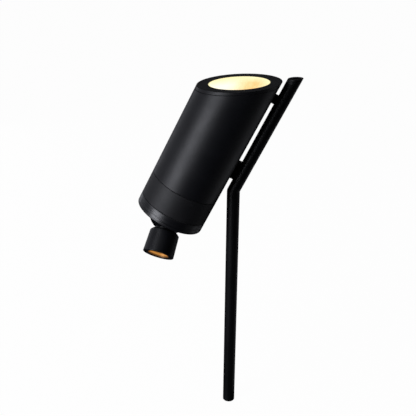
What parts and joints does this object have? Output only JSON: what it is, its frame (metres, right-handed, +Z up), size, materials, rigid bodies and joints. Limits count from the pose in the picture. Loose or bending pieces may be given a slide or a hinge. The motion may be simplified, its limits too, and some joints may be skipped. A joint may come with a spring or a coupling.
{
  "type": "garden spotlight stake",
  "caption": "Garden spotlight: obliquely cut uplight tube on a bent rod with a ground spike, and a small downlight on a ball joint under the tube.",
  "frame": {"origin": "where the rod's axis meets the ground", "axes": "+Z up along the lower rod, +X the way the upper rod and head lean, +Y away from the side that the small spot points to"},
  "size_m": [0.1965, 0.0937, 0.6702],
  "materials": {
    "satin_black": "satin black powder coat on aluminium, very fine grain",
    "rod_black": "satin black powder coat on steel tube",
    "matte_black": "matt black powder coat on aluminium",
    "turned_black": "black anodised, fine turned lines",
    "gloss_black": "polished black anodised",
    "spike_black": "glass-filled nylon, moulded",
    "black_rubber": "silicone rubber",
    "zinc_steel": "zinc plated",
    "bare_aluminium": "machined",
    "cream_enamel": "warm cream enamel, lit from below",
    "polished_reflector": "spun and polished",
    "gold_baffle": "gold anodised",
    "clear_glass": "tempered, clear",
    "led_ceramic": "ceramic board with phosphor",
    "driver_plastic": "moulded",
    "terminal_green": "moulded",
    "lead_red": "silicone sheath",
    "low_friction": "acetal"
  },
  "bodies": {
    "spike": {"ground_spike": "spike_black", "rod_clamp_screw": "zinc_steel", "cable_bush": "black_rubber"},
    "lamp": {"stake_rod": "rod_black", "rod_end_cap": "rod_black", "upper_standoff": "rod_black", "lower_standoff": "rod_black", "upper_standoff_screw": "zinc_steel", "lower_standoff_screw_1": "zinc_steel", "lower_standoff_screw_2": "zinc_steel", "inlet_gland": "black_rubber", "main_housing": "satin_black", "front_bezel": "satin_black", "bezel_gasket": "black_rubber", "mouth_liner": "cream_enamel", "cover_glass": "clear_glass", "glass_gasket": "black_rubber", "main_reflector": "polished_reflector", "led_holder": "driver_plastic", "main_led": "led_ceramic", "heat_sink": "bare_aluminium", "led_lead": "lead_red", "driver_tray": "bare_aluminium", "driver_case": "driver_plastic", "terminal_block": "terminal_green", "collar": "matte_black", "collar_seal": "black_rubber", "end_cap": "turned_black", "cap_seal": "black_rubber", "ball_spring_washer": "zinc_steel", "ball_clamp_ring": "bare_aluminium"},
    "ball_seat": {"ball_friction_ring": "low_friction"},
    "spot": {"swivel_ball": "gloss_black", "swivel_neck": "gloss_black", "spot_housing": "satin_black", "spot_heat_slug": "bare_aluminium", "spot_led": "led_ceramic", "spot_optic": "clear_glass", "spot_glass": "clear_glass", "spot_glass_seal": "black_rubber", "spot_baffle": "gold_baffle", "spot_front_ring": "satin_black", "spot_lead": "lead_red"}
  },
  "joints": [
    {"name": "rod_turn", "type": "hinge", "parent": "spike", "child": "lamp", "pos_m": [0, 0, 0], "axis": [0, 0, 1], "range_deg": [-175, 175]},
    {"name": "spot_swivel", "type": "hinge", "parent": "lamp", "child": "ball_seat", "pos_m": [-0.07734, 0, 0.29351], "axis": [0.4462, 0, 0.8949], "range_deg": [-170, 170]},
    {"name": "spot_tilt", "type": "hinge", "parent": "ball_seat", "child": "spot", "pos_m": [-0.07734, 0, 0.29351], "axis": [-0.89, -0.1045, 0.4438], "range_deg": [-83, 6.5]}
  ]
}
